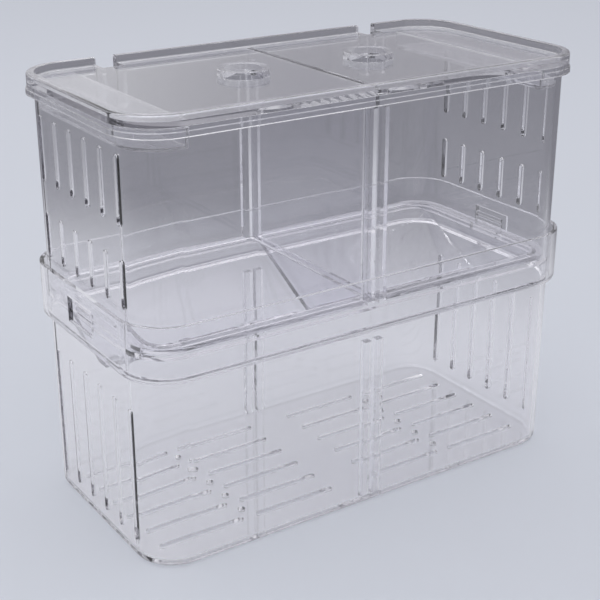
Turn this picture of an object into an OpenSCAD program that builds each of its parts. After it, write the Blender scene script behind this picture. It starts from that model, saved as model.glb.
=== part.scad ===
// Self-floating fish breeding box: a slotted fry tray below, a breeding chamber that nests in its
// collar, two V funnels and a lift-out divider inside, two sealed air floats and a lid.
// Millimetres. Z is up, X runs along the length and the long back wall faces +Y.
// The origin is the centre of the bottom face.

/* [Shells] */
// Outside length of the tray and of the chamber
body_w = 194; // [170:1:220]
// Outside depth of the tray and of the chamber
body_d = 94; // [84:1:110]
// Outside corner radius of the tray and of the chamber
body_r = 16; // [12:0.5:20]
// Thickness of every moulded wall
wall = 1.8; // [1.4:0.1:2.2]
// Gap left where one piece rests on another
seat_gap = 0.2; // [0.15:0.05:0.4]

/* [Tray] */
// Height of the tray up to the underside of its shoulder
tray_h = 75; // [70:1:90]
// Thickness of the slotted floor
floor_t = 2; // [1.6:0.1:3]
// Radius of the edge between floor and walls
floor_edge_r = 2.6; // [2.2:0.1:4]
// Height of the collar that takes the chamber
collar_h = 22; // [18:0.5:26]
// Gap between the chamber and the collar on each side
nest_gap = 1.2; // [1:0.1:2]
// Radius of the shoulder edge under the collar
shoulder_r = 2.4; // [2:0.1:3]
// Number of slot rows in the floor
floor_rows = 6; // [4:1:7]
// Distance between two slot rows in the floor
floor_pitch = 12.5; // [9:0.5:14]
// Length of one floor slot
floor_slot_l = 36; // [24:1:38]
// Distance between the ends of two floor slots in a row
floor_slot_gap = 6; // [4:0.5:8]
// Width of one floor slot
floor_slot_w = 2.2; // [1.6:0.1:3]
// Diameter of the small drain holes between the slot rows
drain_d = 3; // [2:0.5:4]

/* [End slits] */
// Number of slits side by side in each end wall
slit_count = 6; // [4:1:6]
// Distance between two slits
slit_pitch = 12.5; // [9:0.5:13]
// Width of one slit
slit_w = 2.4; // [1.6:0.1:3]
// Height of the tray slits
tray_slit_h = 54; // [40:1:58]
// Distance of the tray slits above the round edge of the floor
tray_slit_lift = 3; // [2:0.5:4]
// Height of the upper chamber slits
high_slit_h = 25; // [16:1:30]
// Distance of the upper chamber slits below the air floats
high_slit_drop = 2; // [1.5:0.5:4]
// Height of the lower chamber slits
low_slit_h = 18; // [12:1:22]
// Distance of the lower chamber slits above the collar
low_slit_lift = 3; // [2:0.5:4]

/* [Chamber] */
// Height of the breeding chamber
chamber_h = 88.3; // [84:0.1:100]
// Height of the inner ledge above the chamber's lower edge
ledge_h = 8.5; // [7:0.5:12]
// Thickness of the inner ledge
ledge_t = 2; // [1.6:0.1:3]
// How far the ledge and the divider rails stand in from the wall
ledge_depth = 4; // [3.5:0.1:5]
// Width of one rail rib beside the divider
rail_w = 3.2; // [2:0.1:4]
// How far the tray rails stand in from the wall
tray_rail_depth = 3; // [2:0.1:4]
// Distance of the tray rails' top below the shoulder
tray_rail_drop = 5; // [3:0.5:10]
// Distance of the chamber rails' top below the chamber's rim
rail_drop = 5; // [3:0.5:10]

/* [Snap windows] */
// Width of the window in each end of the collar
window_w = 20; // [14:1:26]
// Height of the window
window_h = 10; // [8:0.5:12]
// Height of the window's lower edge above the collar's lower edge
window_z = 7; // [6:0.5:8]
// Number of grip ribs that show in the window
grip_count = 3; // [2:1:3]
// Height of one grip rib
grip_h = 1.4; // [1:0.1:1.8]
// How far a grip rib stands out of the chamber's end wall
grip_out = 0.8; // [0.5:0.1:0.8]
// Distance of a grip rib's end from the side of the window
grip_inset = 2; // [1.5:0.5:4]

/* [Air line guides] */
// Distance of each air line guide from the middle of the box
guide_x = 62; // [50:1:66]
// Clear width between the two ribs of a guide
guide_gap = 7; // [6:0.5:8]
// Thickness of a guide rib
guide_rib = 1.6; // [1.2:0.1:2]
// How far a guide stands in from the back wall
guide_depth = 6; // [5.5:0.1:7]
// Height of a guide
guide_h = 17; // [12:1:19]

/* [Floats] */
// Length of each air float along the box
float_l = 18; // [12:1:20]
// Height of each air float
float_h = 8.3; // [6:0.1:10]
// Thickness of the float's own walls and cap
float_t = 1.2; // [1:0.1:1.6]
// Glue gap between a float and the chamber
bond_gap = 0.05; // [0.03:0.01:0.1]

/* [Funnels] */
// Depth of the V below the ledge
funnel_drop = 20; // [14:0.5:21]
// Thickness of the funnel's walls
funnel_t = 1.5; // [1.2:0.1:2]
// Gap between a funnel's hopper and the ledge round it
funnel_gap = 0.4; // [0.3:0.05:0.6]
// Gap between a funnel's lip and the chamber's wall
lip_gap = 1; // [0.6:0.1:1.4]
// Half of the gap between the two funnels
middle_gap = 1.5; // [1.4:0.1:2]
// Width of the slit at the bottom of the V
drop_slit_w = 3; // [2:0.1:4]
// Width of the flat strip on each side of the slit
drop_strip_w = 1.6; // [1.2:0.1:2.5]
// Number of slits in a row at the bottom of each V
drop_slits = 3; // [2:1:4]
// Length of the bridges between those slits
bridge_l = 3; // [2:0.5:5]

/* [Divider] */
// Thickness of the divider
divider_t = 1.6; // [1.2:0.1:2]
// Sliding gap on each side of the divider in its rails and in the lid
divider_gap = 0.3; // [0.25:0.05:0.4]
// How far the divider reaches into its rails
divider_grip = 1.8; // [1.4:0.1:2.2]

/* [Lid] */
// Thickness of the lid's panel
panel_t = 1.8; // [1.4:0.1:2.2]
// Height of the raised rim above the panel
rim_h = 2.7; // [1.5:0.1:4]
// Width of the raised rim
rim_w = 3; // [2.6:0.1:4]
// Height of the lid's skirt with the rim
skirt_h = 8; // [7:0.1:9]
// Gap between the skirt and the chamber on each side
lid_gap = 0.7; // [0.5:0.1:1]
// How far the bead at the skirt's lower edge stands out
bead_out = 0.5; // [0.3:0.1:0.8]
// Height of that bead
bead_h = 2.2; // [1.5:0.1:3]
// Radius of the rim's upper outside edge
rim_edge_r = 1; // [0.5:0.1:1.4]
// Distance of each feed hole from the middle of the lid
feed_x = 28.5; // [20:0.5:34]
// Diameter of the feed holes
feed_d = 15; // [12:0.5:18]
// Wall of the raised collar round a feed hole
feed_wall = 2.4; // [1.6:0.1:3]
// How much wider a notch in the lid is than the guide under it, on each side
notch_gap = 0.8; // [0.4:0.1:1.2]

/* [Hidden] */
$fn = 48;

// Overrun of a cut past the face that it opens
cut = 1;
// Depth to which a rib runs into the wall that carries it
root = 0.5;

inner_w = body_w - 2 * wall;
inner_d = body_d - 2 * wall;
inner_r = body_r - wall;
inner_edge_r = floor_edge_r - wall / 2;

collar_w = body_w + 2 * (nest_gap + wall);
collar_d = body_d + 2 * (nest_gap + wall);
collar_r = body_r + nest_gap + wall;
shelf_z = tray_h + wall;

chamber_z = shelf_z + seat_gap;
rim_z = chamber_z + chamber_h;
ledge_z = chamber_z + ledge_h;
rail_x = divider_t / 2 + divider_gap;

float_z = rim_z - float_h;
high_slit_z = float_z - high_slit_drop - high_slit_h;
low_slit_z = tray_h + collar_h + low_slit_lift;
tray_slit_z = floor_t + floor_edge_r + tray_slit_lift;
grip_w = window_w - 2 * grip_inset;
grip_step = window_h / (grip_count + 1);

throat_w = inner_w - 2 * ledge_depth;
throat_d = inner_d - 2 * ledge_depth;
throat_r = inner_r - ledge_depth;
lip_z = ledge_z + seat_gap;
funnel_z = lip_z - funnel_drop;
funnel_half = throat_d / 2 - funnel_gap;
funnel_end = throat_w / 2 - funnel_gap;
strip_half = drop_slit_w / 2 + drop_strip_w;
slope = atan(funnel_drop / (funnel_half - strip_half));
funnel_rise = funnel_t / cos(slope);

panel_z = rim_z + seat_gap;
panel_top = panel_z + panel_t;
lid_top = panel_top + rim_h;
skirt_z = lid_top - skirt_h;
lid_w = body_w + 2 * (lid_gap + wall);
lid_d = body_d + 2 * (lid_gap + wall);
lid_r = body_r + lid_gap + wall;
notch_w = guide_gap + 2 * notch_gap;
notch_y = inner_d / 2 - guide_depth + notch_gap;

divider_w = throat_d + 2 * divider_grip;
divider_h = panel_top - ledge_z - seat_gap;

// Flat rectangle with true round corners
module round_rect(w, d, r) {
    square([w - 2 * r, d], center = true);
    square([w, d - 2 * r], center = true);
    for (x = [-1, 1], y = [-1, 1])
        translate([x * (w / 2 - r), y * (d / 2 - r)])
            circle(r);
}

// Upright block with round corners
module post(w, d, r, z0, z1) {
    translate([0, 0, z0])
        linear_extrude(z1 - z0)
            round_rect(w, d, r);
}

// Outline of what is cut away to round a lower edge, with the edge itself at the origin
module edge_waste(edge) {
    difference() {
        translate([-edge, -cut])
            square([edge + cut, edge + cut]);
        translate([-edge, edge])
            circle(edge);
    }
}

// Waste along the two straight lower edges that run along X, for a block of that width and depth
module long_edge_waste(w, d, r, edge) {
    for (side = [0, 1])
        mirror([0, side, 0])
            translate([r - w / 2, d / 2, 0])
                rotate([90, 0, 90])
                    linear_extrude(w - 2 * r)
                        edge_waste(edge);
}

// Block with round corners and a round lower edge, standing on z0
module soft_block(w, d, r, z0, h, edge) {
    difference() {
        post(w, d, r, z0, z0 + h);
        translate([0, 0, z0]) {
            long_edge_waste(w, d, r, edge);
            rotate([0, 0, 90])
                long_edge_waste(d, w, r, edge);
            for (x = [0, 1], y = [0, 1])
                mirror([x, 0, 0])
                    mirror([0, y, 0])
                        translate([w / 2 - r, d / 2 - r, 0])
                            rotate_extrude(angle = 90)
                                translate([r, 0])
                                    edge_waste(edge);
        }
    }
}

// Upright slot with round ends that cuts along X
module upright_slot(w, h, depth) {
    rotate([90, 0, 90])
        linear_extrude(depth, center = true) {
            square([w, h - w], center = true);
            for (y = [-1, 1])
                translate([0, y * (h - w) / 2])
                    circle(w / 2);
        }
}

// Flat slot with round ends that cuts along Z
module flat_slot(l, w, depth) {
    linear_extrude(depth, center = true) {
        square([l - w, w], center = true);
        for (x = [-1, 1])
            translate([x * (l - w) / 2, 0])
                circle(w / 2);
    }
}

// One row of slits through both end walls, from z0 up
module slit_row(z0, h) {
    for (side = [-1, 1], i = [0 : slit_count - 1])
        translate([
            side * (body_w - wall) / 2,
            (i - (slit_count - 1) / 2) * slit_pitch,
            z0 + h / 2
        ])
            upright_slot(slit_w, h, wall + 2 * cut);
}

// Four ribs that make a groove on the front wall and one on the back wall
module divider_rails(depth, z0, z1) {
    for (x = [-1, 1], y = [-1, 1])
        translate([
            x * (rail_x + rail_w / 2),
            y * (inner_d - depth + root) / 2,
            (z0 + z1) / 2
        ])
            cube([rail_w, depth + root, z1 - z0], center = true);
}

// Rows of long slots and small drain holes in the tray floor
module floor_openings() {
    for (i = [0 : floor_rows - 1], side = [-1, 1], k = [0, 1])
        translate([
            side * (body_w / 4 + (k - 0.5) * (floor_slot_l + floor_slot_gap)),
            (i - (floor_rows - 1) / 2) * floor_pitch,
            floor_t / 2
        ])
            flat_slot(floor_slot_l, floor_slot_w, floor_t + cut);
    for (i = [0 : floor_rows - 2], side = [-1, 1])
        translate([side * body_w / 4, (i - (floor_rows - 2) / 2) * floor_pitch, -cut])
            cylinder(d = drain_d, h = floor_t + 2 * cut);
}

module lower_box() {
    color("gainsboro", 0.5) {
        difference() {
            union() {
                soft_block(body_w, body_d, body_r, 0, tray_h + wall, floor_edge_r);
                soft_block(collar_w, collar_d, collar_r, tray_h, collar_h, shoulder_r);
            }
            soft_block(inner_w, inner_d, inner_r, floor_t, tray_h + collar_h, inner_edge_r);
            post(collar_w - 2 * wall, collar_d - 2 * wall, collar_r - wall, shelf_z, tray_h + collar_h + cut);
            slit_row(tray_slit_z, tray_slit_h);
            floor_openings();
            translate([-body_w, -window_w / 2, tray_h + window_z])
                cube([2 * body_w, window_w, window_h]);
        }
        divider_rails(tray_rail_depth, floor_t, tray_h - tray_rail_drop);
    }
}

// Small ribs on the chamber's end walls that show in the collar's windows
module grips() {
    for (side = [-1, 1], i = [1 : grip_count])
        translate([side * (body_w + grip_out - root) / 2, 0, tray_h + window_z + i * grip_step])
            cube([grip_out + root, grip_w, grip_h], center = true);
}

// Two ribs on the back wall that hold an air line
module air_line_guides() {
    for (side = [-1, 1], edge = [-1, 1])
        translate([
            side * guide_x + edge * (guide_gap + guide_rib) / 2,
            (inner_d - guide_depth + root) / 2,
            rim_z - guide_h / 2
        ])
            cube([guide_rib, guide_depth + root, guide_h], center = true);
}

module upper_box() {
    color("gainsboro", 0.5) {
        difference() {
            post(body_w, body_d, body_r, chamber_z, rim_z);
            post(inner_w, inner_d, inner_r, ledge_z, rim_z + cut);
            post(throat_w, throat_d, throat_r, chamber_z - cut, ledge_z + cut);
            post(inner_w, inner_d, inner_r, chamber_z - cut, ledge_z - ledge_t);
            slit_row(low_slit_z, low_slit_h);
            slit_row(high_slit_z, high_slit_h);
        }
        divider_rails(ledge_depth, ledge_z - ledge_t / 2, rim_z - rail_drop);
        air_line_guides();
        grips();
    }
}

// Plan of a float: the end of the chamber's inside, less the glue gap
module float_plan(z0, z1, start) {
    intersection() {
        post(inner_w - 2 * bond_gap, inner_d - 2 * bond_gap, inner_r - bond_gap, z0, z1);
        translate([start, -body_d, z0 - cut])
            cube([body_w, 2 * body_d, z1 - z0 + 2 * cut]);
    }
}

// Trough of the float at the right end: a floor and the wall that faces the fish
module float_trough() {
    start = inner_w / 2 - float_l;
    color("whitesmoke", 0.6)
        difference() {
            float_plan(float_z, rim_z - float_t - bond_gap, start);
            translate([start + float_t, -body_d, float_z + float_t])
                cube([body_w, 2 * body_d, float_h]);
        }
}

module float_cap() {
    color("whitesmoke", 0.6)
        float_plan(rim_z - float_t, rim_z, inner_w / 2 - float_l);
}

module float_trough_right() {
    float_trough();
}

module float_trough_left() {
    mirror([1, 0, 0])
        float_trough();
}

module float_cap_right() {
    float_cap();
}

module float_cap_left() {
    mirror([1, 0, 0])
        float_cap();
}

// Solid V along the box, raised by rise
module v_block(rise) {
    rotate([90, 0, 90])
        linear_extrude(body_w / 2)
            polygon([
                [-funnel_half, lip_z + rise],
                [-strip_half, funnel_z + rise],
                [strip_half, funnel_z + rise],
                [funnel_half, lip_z + rise],
                [funnel_half, lip_z + funnel_drop],
                [-funnel_half, lip_z + funnel_drop]
            ]);
}

// Upright plan of the right funnel's hopper, drawn in by inset
module hopper_plan(inset) {
    intersection() {
        post(2 * (funnel_end - inset), 2 * (funnel_half - inset), throat_r - funnel_gap - inset,
            funnel_z - cut, lip_z + funnel_t + inset);
        translate([middle_gap + inset, -body_d, funnel_z - 2 * cut])
            cube([body_w, 2 * body_d, 2 * body_d]);
    }
}

// Flat lip that rests on the chamber's ledge, open over the hopper and cut back at the rails
module funnel_lip() {
    difference() {
        intersection() {
            post(inner_w - 2 * lip_gap, inner_d - 2 * lip_gap, inner_r - lip_gap,
                lip_z, lip_z + funnel_t);
            translate([middle_gap, -body_d, lip_z - cut])
                cube([body_w, 2 * body_d, body_d]);
        }
        hopper_plan(funnel_t);
        for (y = [-1, 1])
            translate([0, y * body_d / 2, lip_z])
                cube([
                    2 * (rail_x + rail_w + funnel_gap),
                    body_d - 2 * funnel_half,
                    2 * (funnel_t + cut)
                ], center = true);
    }
}

// Slits along the bottom of the V, with bridges between them
module drop_openings() {
    span = funnel_end - middle_gap - 2 * funnel_t;
    slit_l = (span - (drop_slits + 1) * bridge_l) / drop_slits;
    for (i = [0 : drop_slits - 1])
        translate([
            middle_gap + funnel_t + bridge_l + slit_l / 2 + i * (slit_l + bridge_l),
            0,
            funnel_z
        ])
            flat_slot(slit_l, drop_slit_w, 2 * (funnel_rise + cut));
}

module funnel() {
    color("gainsboro", 0.5)
        difference() {
            union() {
                intersection() {
                    v_block(0);
                    hopper_plan(0);
                }
                funnel_lip();
            }
            intersection() {
                v_block(funnel_rise);
                hopper_plan(funnel_t);
            }
            drop_openings();
        }
}

module funnel_right() {
    funnel();
}

module funnel_left() {
    mirror([1, 0, 0])
        funnel();
}

module divider() {
    color("gainsboro", 0.5)
        translate([-divider_t / 2, -divider_w / 2, ledge_z + seat_gap])
            cube([divider_t, divider_w, divider_h]);
}

module lid() {
    color("gainsboro", 0.5)
        difference() {
            union() {
                translate([0, 0, lid_top])
                    mirror([0, 0, 1])
                        soft_block(lid_w, lid_d, lid_r, 0, skirt_h, rim_edge_r);
                post(lid_w + 2 * bead_out, lid_d + 2 * bead_out, lid_r + bead_out, skirt_z, skirt_z + bead_h);
            }
            post(lid_w - 2 * wall, lid_d - 2 * wall, lid_r - wall, skirt_z - cut, panel_z);
            difference() {
                post(lid_w - 2 * rim_w, lid_d - 2 * rim_w, lid_r - rim_w, panel_top, lid_top + cut);
                for (x = [-1, 1])
                    translate([x * feed_x, 0, panel_z])
                        cylinder(d = feed_d + 2 * feed_wall, h = panel_t + rim_h);
            }
            for (x = [-1, 1])
                translate([x * feed_x, 0, skirt_z])
                    cylinder(d = feed_d, h = skirt_h + cut);
            translate([0, 0, panel_z])
                cube([
                    divider_t + 2 * divider_gap,
                    divider_w + 2 * divider_gap,
                    2 * (panel_t + cut)
                ], center = true);
            for (x = [-1, 1])
                translate([x * guide_x, lid_d / 2, lid_top])
                    cube([notch_w, lid_d - 2 * notch_y, 2 * (skirt_h + cut)], center = true);
        }
}

lower_box();
upper_box();
float_trough_left();
float_trough_right();
float_cap_left();
float_cap_right();
funnel_left();
funnel_right();
divider();
lid();
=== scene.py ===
"""Looks of a self-floating fish breeding box in clear moulded plastic.

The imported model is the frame: a slotted fry tray, a breeding chamber nested in its collar, two funnels,
a lift-out divider, two sealed air floats and a lid. Each of them is dressed here as a clear moulding with
softly rounded edges, and a set bond runs along each float's inner joint. Everything is in metres, in the
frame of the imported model.
"""

import logging
import math
from dataclasses import dataclass
from enum import Enum

import bmesh
import bpy
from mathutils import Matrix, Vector


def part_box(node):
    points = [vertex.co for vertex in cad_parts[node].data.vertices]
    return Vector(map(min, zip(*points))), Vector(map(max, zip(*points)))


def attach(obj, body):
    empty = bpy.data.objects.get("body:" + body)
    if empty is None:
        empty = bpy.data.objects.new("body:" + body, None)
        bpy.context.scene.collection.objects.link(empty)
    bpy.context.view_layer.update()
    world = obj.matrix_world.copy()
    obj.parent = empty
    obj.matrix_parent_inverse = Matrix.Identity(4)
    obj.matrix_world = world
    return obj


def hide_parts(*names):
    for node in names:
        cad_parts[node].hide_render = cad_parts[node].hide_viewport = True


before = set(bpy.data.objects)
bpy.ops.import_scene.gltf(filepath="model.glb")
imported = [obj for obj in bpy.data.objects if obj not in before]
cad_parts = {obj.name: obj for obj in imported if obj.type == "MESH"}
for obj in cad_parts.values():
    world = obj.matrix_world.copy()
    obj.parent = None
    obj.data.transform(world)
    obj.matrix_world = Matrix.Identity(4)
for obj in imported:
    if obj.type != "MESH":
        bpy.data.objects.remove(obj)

log = logging.getLogger("breeding_box")

MM = 0.001

Colour = tuple[float, float, float]
Place = tuple[float, float, float]
Span = tuple[float, float]


# Shader maths


class Val:
    """One output socket of a node tree, so that shader maths can be written as an expression."""

    def __init__(self, graph: "Graph", socket: bpy.types.NodeSocket) -> None:
        """Wrap a socket.

        Args:
            graph: The graph that the socket's node is in.
            socket: The output socket.
        """
        self.graph = graph
        self.socket = socket

    def _math(self, operation: str, first: object, second: object) -> "Val":
        """Add one Math node.

        Args:
            operation: The node's operation.
            first: The upper input, a number or a Val.
            second: The lower input, a number or a Val.

        Returns:
            The result as a Val.
        """
        return self.graph.value("ShaderNodeMath", {"operation": operation}, {0: first, 1: second})

    def __add__(self, other: object) -> "Val":
        """Return self + other."""
        return self._math("ADD", self, other)

    def __radd__(self, other: object) -> "Val":
        """Return other + self."""
        return self._math("ADD", other, self)

    def __sub__(self, other: object) -> "Val":
        """Return self - other."""
        return self._math("SUBTRACT", self, other)

    def __rsub__(self, other: object) -> "Val":
        """Return other - self."""
        return self._math("SUBTRACT", other, self)

    def __mul__(self, other: object) -> "Val":
        """Return self * other."""
        return self._math("MULTIPLY", self, other)

    def __rmul__(self, other: object) -> "Val":
        """Return other * self."""
        return self._math("MULTIPLY", other, self)

    def at_least(self, other: object) -> "Val":
        """Return the larger of self and other."""
        return self._math("MAXIMUM", self, other)


class Graph:
    """A node tree that is filled by one method."""

    def __init__(self, tree: bpy.types.NodeTree) -> None:
        """Empty the tree and keep it.

        Args:
            tree: The node tree of a material, of the world or of a Geometry Nodes modifier.
        """
        self.tree = tree
        tree.nodes.clear()

    def node(self, kind: str, settings: dict[str, object], inputs: dict[object, object]) -> bpy.types.Node:
        """Add a node.

        Args:
            kind: The node's type name.
            settings: Properties of the node. They are set first.
            inputs: The value, the Val or the socket of each input, by name or number.

        Returns:
            The new node.
        """
        node = self.tree.nodes.new(kind)
        for key, value in settings.items():
            setattr(node, key, value)
        for key, value in inputs.items():
            if isinstance(value, Val):
                self.tree.links.new(value.socket, node.inputs[key])
            elif isinstance(value, bpy.types.NodeSocket):
                self.tree.links.new(value, node.inputs[key])
            else:
                node.inputs[key].default_value = value
        return node

    def value(
        self, kind: str, settings: dict[str, object], inputs: dict[object, object], out: object = 0
    ) -> Val:
        """Add a node and return one of its outputs.

        Args:
            kind: The node's type name.
            settings: Properties of the node.
            inputs: The value or the Val of each input.
            out: The name or number of the output.

        Returns:
            The output as a Val.
        """
        return Val(self, self.node(kind, settings, inputs).outputs[out])

    def place(self) -> Val:
        """Return the place on the piece, in metres."""
        return self.value("ShaderNodeTexCoord", {}, {}, "Object")

    def along(self, at: Val, direction: Place) -> Val:
        """Return how far a place lies along a direction.

        Args:
            at: The place.
            direction: The direction, of length 1.

        Returns:
            The distance along it.
        """
        pair = {0: at, 1: direction}
        return self.value("ShaderNodeVectorMath", {"operation": "DOT_PRODUCT"}, pair, "Value")

    def noise(self, at: Val, scale: float, detail: float, rough: float = 0.5) -> Val:
        """Return a noise value between 0 and 1.

        Args:
            at: The place on the piece.
            scale: Number of features in a metre.
            detail: Number of finer layers.
            rough: Strength of the finer layers.

        Returns:
            The noise.
        """
        sizes = {"Vector": at, "Scale": scale, "Detail": detail, "Roughness": rough}
        return self.value("ShaderNodeTexNoise", {}, sizes, "Fac")

    def mix(self, share: Val, first: object, second: object) -> Val:
        """Return a mix of two colours.

        Args:
            share: Share of the second colour.
            first: The first colour, three numbers or a Val.
            second: The second colour, three numbers or a Val.

        Returns:
            The mixed colour.
        """
        low, high = (c if isinstance(c, Val) else (*c, 1.0) for c in (first, second))
        return self.value("ShaderNodeMix", {"data_type": "RGBA"}, {0: share, 6: low, 7: high}, 2)

    def remap(self, source: Val, low: float, high: float, to_low: float = 0.0, to_high: float = 1.0) -> Val:
        """Return source mapped from one range to another, held at its ends.

        Args:
            source: The value to map.
            low: The value that becomes to_low.
            high: The value that becomes to_high.
            to_low: The new low end.
            to_high: The new high end.

        Returns:
            The mapped value.
        """
        ends = {"Value": source, "From Min": low, "From Max": high, "To Min": to_low, "To Max": to_high}
        return self.value("ShaderNodeMapRange", {"interpolation_type": "SMOOTHSTEP"}, ends)


# Finishes


def new_material(name: str) -> tuple[bpy.types.Material, Graph]:
    """Make an empty material.

    Args:
        name: Name of the material.

    Returns:
        The material and the graph of its nodes.
    """
    mat = bpy.data.materials.new(name)
    mat.use_nodes = True
    return mat, Graph(mat.node_tree)


@dataclass(frozen=True)
class Patches:
    """Soft patches over a piece.

    Attributes:
        scale: Number of patches in a metre.
        detail: Number of finer layers.
        begins: Noise value at which a patch begins.
        full: Noise value at which it is full.
        rough: Strength of the finer layers.
    """

    scale: float
    detail: float
    begins: float
    full: float
    rough: float = 0.5

    def mask(self, g: Graph, at: Val) -> Val:
        """Return the patches as a value between 0 and 1.

        Args:
            g: The graph that they are added to.
            at: The place on the piece.

        Returns:
            The value, which is 1 where a patch is full.
        """
        return g.remap(g.noise(at, self.scale, self.detail, self.rough), self.begins, self.full)


@dataclass(frozen=True)
class ClearPlastic:
    """Glossy clear moulded plastic.

    Attributes:
        name: Name of the material and of the record's slot.
        tint: Colour of the plastic where it is clearest.
        flow_tint: Colour where the melt met and the plastic is a little denser.
        pass_tint: Colour that lamps are given on their way through one face.
        depth: How fast long ways through the plastic turn to depth_tint, for each metre.
        depth_tint: Colour that long ways through the plastic turn to, as along a wall's edge.
        ior: Index of refraction.
        polish: Roughness of the polished faces.
        haze: How much rougher the handled spots are.
        scuffed: Share of the haze that comes in fine scuffs.
        ripple: Height of the slow ripple that moulding leaves, in metres.
        ripples: Number of ripples in a metre.
        flow: Where the melt met.
        smudge: The handled spots.
        scuff: The fine scuffs in the handled spots.
    """

    name: str
    tint: Colour
    flow_tint: Colour
    pass_tint: Colour
    depth: float = 8.0
    depth_tint: Colour = (0.50, 0.49, 0.53)
    ior: float = 1.55
    polish: float = 0.015
    haze: float = 0.05
    scuffed: float = 0.4
    ripple: float = 0.02 * MM
    ripples: float = 22.0
    flow: Patches = Patches(14.0, 3.0, 0.35, 0.7)
    smudge: Patches = Patches(45.0, 4.0, 0.55, 0.75, 0.6)
    scuff: Patches = Patches(400.0, 2.0, 0.6, 0.8)

    def material(self) -> bpy.types.Material:
        """Make the material.

        Returns:
            The clear plastic.
        """
        mat, g = new_material(self.name)
        at = g.place()
        hazy = self.smudge.mask(g, at) * ((1.0 - self.scuffed) + self.scuffed * self.scuff.mask(g, at))
        waves = g.noise(at, self.ripples, 1.0, 0.4)
        bump = {"Strength": 1.0, "Distance": self.ripple, "Height": waves}
        glass = g.node("ShaderNodeBsdfPrincipled", {}, {
            "Base Color": g.mix(self.flow.mask(g, at), self.tint, self.flow_tint),
            "Roughness": self.polish + self.haze * hazy,
            "Normal": g.value("ShaderNodeBump", {}, bump, "Normal"),
            "IOR": self.ior,
            "Transmission Weight": 1.0,
        })
        lamp_way = g.node("ShaderNodeBsdfTransparent", {}, {"Color": (*self.pass_tint, 1.0)})
        shadow = g.value("ShaderNodeLightPath", {}, {}, "Is Shadow Ray")
        both = g.node("ShaderNodeMixShader", {}, {0: shadow, 1: glass.outputs[0], 2: lamp_way.outputs[0]})
        dense = {"Color": (*self.depth_tint, 1.0), "Density": self.depth}
        inside = g.node("ShaderNodeVolumeAbsorption", {}, dense)
        g.node("ShaderNodeOutputMaterial", {}, {"Surface": both.outputs[0], "Volume": inside.outputs[0]})
        return mat


@dataclass(frozen=True)
class SetBond:
    """Whitish bond that has set along a joint.

    Attributes:
        name: Name of the material.
        light: Colour of its lighter spots.
        dull: Colour of its duller spots.
        spots: Number of spots in a metre.
        roughness: How matt it is.
    """

    name: str = "set_bond"
    light: Colour = (0.86, 0.86, 0.89)
    dull: Colour = (0.7912, 0.7912, 0.8188)
    spots: float = 900.0
    roughness: float = 0.45

    def material(self) -> bpy.types.Material:
        """Make the material.

        Returns:
            The bond.
        """
        mat, g = new_material(self.name)
        mottle = g.mix(g.noise(g.place(), self.spots, 2.0), self.light, self.dull)
        skin = g.node("ShaderNodeBsdfPrincipled", {}, {"Base Color": mottle, "Roughness": self.roughness})
        g.node("ShaderNodeOutputMaterial", {}, {"Surface": skin.outputs[0]})
        return mat


@dataclass(frozen=True)
class StudioFloor:
    """Plain pale floor. Every ray but the camera's sees painted shade on it, so through the clear walls it
    is pale near the box and greyer behind it.

    Attributes:
        open_view: Colour as the camera sees it beside the box.
        open_shade: Its faintly darker patches.
        patches: Number of these patches in a metre.
        pale: Colour near the box, as the clear walls show it.
        painted_shade: Painted shade behind the box, a grey that only the clear walls show and mirror.
        behind: Direction of the painted shade, seen from the middle of the box.
        greyer: Distances along that direction between which the painted shade comes in, in metres.
        beyond: Distances between which the painted shade pales again, in metres.
        beyond_share: How much of the painted shade stays past them.
        rim: Distances all round between which the rest of the floor takes a little painted shade, in metres.
        rim_share: How much painted shade the rest of the floor takes.
        roughness: How matt the floor is.
        sheen: Strength of its mirroring.
    """

    open_view: Colour = (0.61, 0.635, 0.685)
    open_shade: Colour = (0.60085, 0.625475, 0.674725)
    patches: float = 3.0
    pale: Colour = (0.68, 0.69, 0.72)
    painted_shade: Colour = (0.215, 0.215, 0.24)
    behind: Place = (0.664, 0.747, 0.0)
    greyer: Span = (0.11, 0.36)
    beyond: Span = (0.8, 1.5)
    beyond_share: float = 0.75
    rim: Span = (0.35, 0.60)
    rim_share: float = 0.6
    roughness: float = 0.85
    sheen: float = 0.2

    def material(self) -> bpy.types.Material:
        """Make the material.

        Returns:
            The floor's paint.
        """
        mat, g = new_material("studio_floor")
        at = g.place()
        away = g.value("ShaderNodeVectorMath", {"operation": "LENGTH"}, {0: at}, "Value")
        # Painted shade for every ray but the camera's: grey behind the box, paling far off, and a little
        # grey all round.
        back = g.along(at, self.behind)
        shade_behind = g.remap(back, *self.greyer) * g.remap(back, *self.beyond, 1.0, self.beyond_share)
        share = shade_behind.at_least(g.remap(away, *self.rim, 0.0, self.rim_share))
        through = g.mix(share, self.pale, self.painted_shade)
        direct = g.mix(g.noise(at, self.patches, 2.0), self.open_view, self.open_shade)
        # The camera sees the plain floor. Every other ray, through or mirrored in the clear walls, sees the
        # painted shade.
        seen = g.value("ShaderNodeLightPath", {}, {}, "Is Camera Ray")
        paint = g.node("ShaderNodeBsdfPrincipled", {}, {
            "Base Color": g.mix(seen, through, direct),
            "Roughness": self.roughness,
            "Specular IOR Level": self.sheen,
        })
        g.node("ShaderNodeOutputMaterial", {}, {"Surface": paint.outputs[0]})
        return mat


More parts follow.
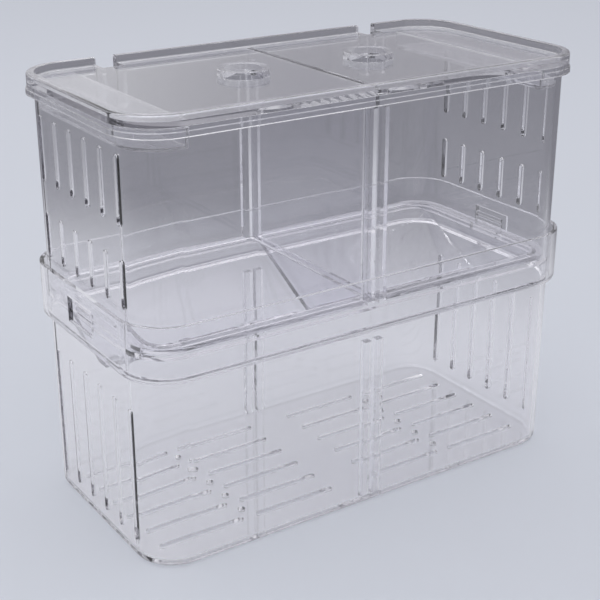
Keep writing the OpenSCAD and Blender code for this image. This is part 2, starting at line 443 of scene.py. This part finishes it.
TRAY_PLASTIC = ClearPlastic(
    "clear_tray",
    tint=(0.985, 0.985, 0.995),
    flow_tint=(0.97, 0.97, 0.985),
    pass_tint=(0.995, 0.995, 0.998),
)
CHAMBER_PLASTIC = ClearPlastic(
    "clear_chamber",
    tint=(0.95, 0.95, 0.96),
    flow_tint=(0.93, 0.93, 0.945),
    pass_tint=(0.99, 0.99, 0.992),
)
FLOAT_PLASTIC = ClearPlastic(
    "clear_float",
    tint=(0.97, 0.97, 0.98),
    flow_tint=(0.95, 0.95, 0.965),
    pass_tint=(0.992, 0.992, 0.995),
)
INSERT_PLASTIC = ClearPlastic(
    "clear_insert",
    tint=(0.945, 0.94, 0.965),
    flow_tint=(0.92, 0.915, 0.945),
    pass_tint=(0.992, 0.992, 0.996),
    depth=16.0,
)
LID_PLASTIC = ClearPlastic(
    "clear_lid",
    tint=(0.955, 0.955, 0.965),
    flow_tint=(0.935, 0.935, 0.95),
    pass_tint=(0.99, 0.99, 0.992),
)
PLASTICS = (TRAY_PLASTIC, CHAMBER_PLASTIC, FLOAT_PLASTIC, INSERT_PLASTIC, LID_PLASTIC)


# Mouldings and bonds


class Body(Enum):
    """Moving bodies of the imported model."""

    TRAY = "tray"
    CHAMBER = "chamber"
    FUNNEL_LEFT = "funnel_l"
    FUNNEL_RIGHT = "funnel_r"
    PARTITION = "partition"
    COVER = "cover"


def new_piece(name: str, mesh: bpy.types.Mesh) -> bpy.types.Object:
    """Make an object at the origin.

    Args:
        name: Name of the object.
        mesh: Its mesh.

    Returns:
        The object, linked to the scene.
    """
    piece = bpy.data.objects.new(name, mesh)
    bpy.context.scene.collection.objects.link(piece)
    return piece


def set_shape(piece: bpy.types.Object) -> None:
    """Turn what the modifiers of a piece make into its plain mesh.

    Args:
        piece: The piece.
    """
    graph = bpy.context.evaluated_depsgraph_get()
    made = bpy.data.meshes.new_from_object(piece.evaluated_get(graph))
    piece.modifiers.clear()
    piece.data = made
    made.name = piece.name


@dataclass
class Moulding:
    """One clear moulding, made from its CAD solid with its edges softly rounded.

    Attributes:
        node: Name of the CAD node that it stands for.
        body: The body that it moves with.
        finish: The plastic.
        edge: Radius of the rounded edges, in metres.
        merge: Distance within which the corners of loose triangles are joined, in metres.
        sharp: Angle above which an edge is rounded, in degrees.
        flat: Angle below which neighbouring faces are joined, in degrees.
        rings: Number of steps across a rounded edge.
    """

    node: str
    body: Body
    finish: ClearPlastic
    edge: float = 0.4 * MM
    merge: float = 0.001 * MM
    sharp: float = 50.0
    flat: float = 0.3
    rings: int = 2

    def build(self) -> bpy.types.Object:
        """Join the solid's loose triangles to a clean mesh.

        Returns:
            The moulding's object, with its place in its mesh.
        """
        bm = bmesh.new()
        bm.from_mesh(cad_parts[self.node].data)
        bmesh.ops.remove_doubles(bm, verts=bm.verts, dist=self.merge)
        limit = math.radians(self.flat)
        bmesh.ops.dissolve_limit(
            bm, angle_limit=limit, use_dissolve_boundaries=False, verts=bm.verts, edges=bm.edges
        )
        name = f"{self.node}_clear"
        mesh = bpy.data.meshes.new(name)
        bm.to_mesh(mesh)
        bm.free()
        return new_piece(name, mesh)

    def dress(self, piece: bpy.types.Object, material: bpy.types.Material) -> None:
        """Round the edges, shade the curves smoothly and give the finish.

        Args:
            piece: The moulding's object.
            material: The clear plastic.
        """
        bevel = piece.modifiers.new("edges", "BEVEL")
        bevel.width = self.edge
        bevel.segments = self.rings
        bevel.limit_method = "ANGLE"
        bevel.angle_limit = math.radians(self.sharp)
        bevel.use_clamp_overlap = True
        level = piece.modifiers.new("level_faces", "WEIGHTED_NORMAL")
        level.keep_sharp = True
        piece.data.shade_smooth()
        set_shape(piece)
        piece.data.materials.clear()
        piece.data.materials.append(material)
        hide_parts(self.node)
        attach(piece, self.body.value)
        log.info("%s: %d faces, rides on %s", piece.name, len(piece.data.polygons), self.body.value)


@dataclass
class BondLine:
    """Thin uneven bead that has come out along the joint of a float's cap and trough.

    Attributes:
        name: Name of the piece.
        trough: Name of the trough's CAD node.
        body: The body that it moves with.
        slot: Name of the record's slot. It is not used.
        radius: Radius of the bead, in metres.
        inset: Distance of its ends from the ends of the joint, in metres.
        swell: How uneven the bead is, as a share of its radius.
        lumps: Number of uneven spots in a metre.
        steps: Number of rings along the bead.
        sides: Number of sides of a ring.
    """

    name: str
    trough: str
    body: Body = Body.CHAMBER
    slot: str = "clear_float"
    radius: float = 0.35 * MM
    inset: float = 0.8 * MM
    swell: float = 0.5
    lumps: float = 260.0
    steps: int = 120
    sides: int = 10

    def build(self, material: bpy.types.Material) -> None:
        """Make the bead along the trough's upper inner edge and give the finish.

        Args:
            material: The bond.
        """
        low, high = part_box(self.trough)
        inner = low.x if low.x > 0.0 else high.x
        sizes = {
            "Start": (inner, low.y + self.inset, high.z),
            "End": (inner, high.y - self.inset, high.z),
            "Radius": self.radius,
            "Swell": self.swell,
            "Lumps": self.lumps,
            "Steps": self.steps,
            "Sides": self.sides,
            "Material": material,
        }
        piece = new_piece(self.name, bpy.data.meshes.new(self.name))
        bead = piece.modifiers.new("bead", "NODES")
        bead.node_group = self._tree()
        for item in bead.node_group.interface.items_tree:
            if item.in_out == "INPUT":
                bead[item.identifier] = sizes[item.name]
        set_shape(piece)
        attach(piece, self.body.value)
        log.info("%s: %d faces, rides on %s", piece.name, len(piece.data.polygons), self.body.value)

    @staticmethod
    def _tree() -> bpy.types.NodeTree:
        """Make the node tree that sweeps a ring along a line.

        Returns:
            The tree, with an input for each size and for the material.
        """
        tree = bpy.data.node_groups.new("bond_bead", "GeometryNodeTree")
        kinds = {
            "Start": "Vector",
            "End": "Vector",
            "Radius": "Float",
            "Swell": "Float",
            "Lumps": "Float",
            "Steps": "Int",
            "Sides": "Int",
            "Material": "Material",
        }
        for name, kind in kinds.items():
            tree.interface.new_socket(name, in_out="INPUT", socket_type=f"NodeSocket{kind}")
        tree.interface.new_socket("Geometry", in_out="OUTPUT", socket_type="NodeSocketGeometry")
        g = Graph(tree)
        given = {name: Val(g, socket) for name, socket in g.node("NodeGroupInput", {}, {}).outputs.items()}
        line = g.value("GeometryNodeCurvePrimitiveLine", {}, {"Start": given["Start"], "End": given["End"]})
        path = g.value("GeometryNodeResampleCurve", {}, {"Curve": line, "Count": given["Steps"]})
        here = g.value("GeometryNodeInputPosition", {}, {})
        uneven = 1.0 + given["Swell"] * (g.noise(here, given["Lumps"], 2.0) - 0.5)
        ring = g.value("GeometryNodeCurvePrimitiveCircle", {}, {"Resolution": given["Sides"], "Radius": 1.0})
        sweep = {"Curve": path, "Profile Curve": ring, "Scale": uneven * given["Radius"], "Fill Caps": True}
        swept = g.value("GeometryNodeCurveToMesh", {}, sweep)
        smooth = g.value("GeometryNodeSetShadeSmooth", {}, {0: swept})
        solid = g.value("GeometryNodeRealizeInstances", {}, {0: smooth})
        skin = g.value("GeometryNodeSetMaterial", {}, {"Geometry": solid, "Material": given["Material"]})
        g.node("NodeGroupOutput", {}, {0: skin})
        return tree


# Studio


def way_out(azimuth: float, elevation: float) -> Vector:
    """Return the direction from the box to a lamp or camera.

    Args:
        azimuth: Turn round the box, in degrees.
        elevation: Height above the horizon, in degrees.

    Returns:
        The direction, of length 1.
    """
    a, e = math.radians(azimuth), math.radians(elevation)
    return Vector((math.sin(a) * math.cos(e), -math.cos(a) * math.cos(e), math.sin(e)))


def set_up(name: str, data: bpy.types.ID, location: Vector, out: Vector) -> bpy.types.Object:
    """Place a lamp or camera so that it looks back at the box.

    Args:
        name: Name of the object.
        data: The lamp or camera.
        location: Where it stands, in metres.
        out: The direction from the box to it.

    Returns:
        The object, linked to the scene.
    """
    stand = bpy.data.objects.new(name, data)
    stand.location = location
    stand.rotation_mode = "QUATERNION"
    stand.rotation_quaternion = (-out).to_track_quat("-Z", "Y")
    bpy.context.scene.collection.objects.link(stand)
    return stand


@dataclass(frozen=True)
class PhotoView:
    """Camera at the photograph's viewing angle.

    Attributes:
        azimuth: Turn round the box, in degrees.
        elevation: Height above the horizon, in degrees.
        look_at: Point that the view is aimed past, in metres.
        aside: Shift of the aim to the right and up, in metres.
        distance: Distance of the camera, in metres.
        lens: Focal length, in millimetres.
        sensor: Width of the sensor, in millimetres.
        clip: Nearest and farthest distance that is seen, in metres.
    """

    azimuth: float = -33.64
    elevation: float = 22.21
    look_at: Place = (0.0, 0.0, 0.085)
    aside: Span = (-0.00296, -0.01292)
    distance: float = 0.51285
    lens: float = 75.95
    sensor: float = 36.0
    clip: Span = (0.01, 50.0)

    def build(self) -> None:
        """Make the scene's camera."""
        back = way_out(self.azimuth, self.elevation)
        right = Vector((0.0, 0.0, 1.0)).cross(back).normalized()
        aim = Vector(self.look_at) + self.aside[0] * right + self.aside[1] * back.cross(right)
        data = bpy.data.cameras.new("photo_view")
        data.lens = self.lens
        data.sensor_width = self.sensor
        data.clip_start, data.clip_end = self.clip
        bpy.context.scene.camera = set_up("photo_view", data, aim + self.distance * back, back)


@dataclass(frozen=True)
class SoftLamp:
    """A soft area lamp aimed at the box.

    Attributes:
        name: Name of the lamp.
        azimuth: Turn round the box, in degrees.
        elevation: Height above the horizon, in degrees.
        distance: Distance from the box, in metres.
        size: Width and height, in metres.
        power: Power, in watts.
        look_at: Point that it is aimed at, in metres.
    """

    name: str
    azimuth: float
    elevation: float
    distance: float
    size: Span
    power: float
    look_at: Place = (0.0, 0.0, 0.08)

    def build(self) -> None:
        """Make the lamp."""
        out = way_out(self.azimuth, self.elevation)
        data = bpy.data.lights.new(self.name, "AREA")
        data.shape = "RECTANGLE"
        data.size, data.size_y = self.size
        data.energy = self.power
        set_up(self.name, data, Vector(self.look_at) + self.distance * out, out)


LAMPS = (
    SoftLamp("key", azimuth=-70.0, elevation=55.0, distance=1.2, size=(0.9, 0.6), power=1.2),
    SoftLamp("fill", azimuth=40.0, elevation=35.0, distance=1.3, size=(0.8, 0.8), power=0.5),
    SoftLamp("rim", azimuth=160.0, elevation=50.0, distance=1.2, size=(1.0, 0.3), power=1.0),
    SoftLamp("front_strip", azimuth=-33.0, elevation=62.0, distance=0.9, size=(0.9, 0.014), power=0.35),
    SoftLamp("left_strip", azimuth=-100.0, elevation=40.0, distance=1.0, size=(0.7, 0.016), power=0.35),
)


@dataclass
class Studio:
    """Floor, surrounding light, lamps and camera.

    Attributes:
        floor: Finish of the floor.
        reach: Half of the floor's width, in metres.
        drop: Gap between the box and the floor, so that their faces don't share a plane, in metres.
        zenith: Light from above.
        horizon: Light from the sides.
        climb: Heights between which the light turns from the horizon's to the zenith's.
        shade: Light from the dark side, which the lid mirrors.
        dark_side: Direction of the dark side.
        dark_edge: Where the dark side begins and is full, as cosines of the angle to its direction.
        backdrop: Colour of the surroundings as the camera sees them, and low down through the walls.
        low: Heights between which the view through the walls turns from the backdrop to the light.
    """

    floor: StudioFloor = StudioFloor()
    reach: float = 6.0
    drop: float = 0.2 * MM
    zenith: Colour = (0.90, 0.90, 0.93)
    horizon: Colour = (0.80, 0.80, 0.84)
    climb: Span = (0.0, 0.8)
    shade: Colour = (0.38, 0.37, 0.41)
    dark_side: Place = (0.998, -0.0635, 0.0)
    dark_edge: Span = (0.30, 0.50)
    backdrop: Colour = (0.52, 0.53, 0.58)
    low: Span = (0.05, 0.35)

    def build(self) -> None:
        """Make the studio round the box."""
        self._floor()
        self._surroundings()
        for lamp in LAMPS:
            lamp.build()
        PhotoView().build()

    def _floor(self) -> None:
        """Make the floor."""
        r, z = self.reach, -self.drop
        mesh = bpy.data.meshes.new("studio_floor")
        mesh.from_pydata([(-r, -r, z), (r, -r, z), (r, r, z), (-r, r, z)], [], [(0, 1, 2, 3)])
        mesh.materials.append(self.floor.material())
        new_piece("studio_floor", mesh)

    def _surroundings(self) -> None:
        """Make the light from all round."""
        world = bpy.data.worlds.new("studio_light")
        world.use_nodes = True
        bpy.context.scene.world = world
        g = Graph(world.node_tree)
        way = g.value("ShaderNodeTexCoord", {}, {}, "Generated")
        up = g.value("ShaderNodeSeparateXYZ", {}, {0: way}, "Z")
        sides = g.mix(g.remap(g.along(way, self.dark_side), *self.dark_edge), self.horizon, self.shade)
        light = g.mix(g.remap(up, *self.climb), sides, self.zenith)
        ray = g.node("ShaderNodeLightPath", {}, {}).outputs
        through = Val(g, ray["Is Transmission Ray"]) * g.remap(up, *self.low, 1.0, 0.0)
        seen = Val(g, ray["Is Camera Ray"]).at_least(through)
        colour = g.mix(seen, light, self.backdrop)
        glow = g.node("ShaderNodeBackground", {}, {"Color": colour, "Strength": 1.0})
        g.node("ShaderNodeOutputWorld", {}, {"Surface": glow.outputs[0]})


# The box

# The bead at the lid's edge is only 0.5 mm wide, so a larger radius would fold it up.
LID_EDGE = 0.18 * MM

MOULDINGS = (
    Moulding("lower_box", Body.TRAY, TRAY_PLASTIC),
    Moulding("upper_box", Body.CHAMBER, CHAMBER_PLASTIC),
    Moulding("float_trough_left", Body.CHAMBER, FLOAT_PLASTIC),
    Moulding("float_trough_right", Body.CHAMBER, FLOAT_PLASTIC),
    Moulding("float_cap_left", Body.CHAMBER, FLOAT_PLASTIC),
    Moulding("float_cap_right", Body.CHAMBER, FLOAT_PLASTIC),
    Moulding("funnel_left", Body.FUNNEL_LEFT, INSERT_PLASTIC),
    Moulding("funnel_right", Body.FUNNEL_RIGHT, INSERT_PLASTIC),
    Moulding("divider", Body.PARTITION, INSERT_PLASTIC),
    Moulding("lid", Body.COVER, LID_PLASTIC, LID_EDGE),
)
BOND_LINES = (
    BondLine("bond_line_left", "float_trough_left"),
    BondLine("bond_line_right", "float_trough_right"),
)


def set_light_paths() -> None:
    """Set plain colours, and let light pass the many clear walls and be mirrored inside them."""
    scene = bpy.context.scene
    scene.view_settings.view_transform = "Standard"
    scene.cycles.use_denoising = True
    scene.cycles.max_bounces = 48
    scene.cycles.transmission_bounces = 40
    scene.cycles.glossy_bounces = 40
    scene.cycles.transparent_max_bounces = 32


def main() -> None:
    """Make the studio, dress each moulding and lay the bonds."""
    logging.basicConfig(level=logging.INFO, format="%(message)s")
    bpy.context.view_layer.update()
    set_light_paths()
    Studio().build()
    materials = {plastic: plastic.material() for plastic in PLASTICS}
    for moulding in MOULDINGS:
        moulding.dress(moulding.build(), materials[moulding.finish])
    bond = SetBond().material()
    for line in BOND_LINES:
        line.build(bond)


if __name__ == "__main__":
    main()
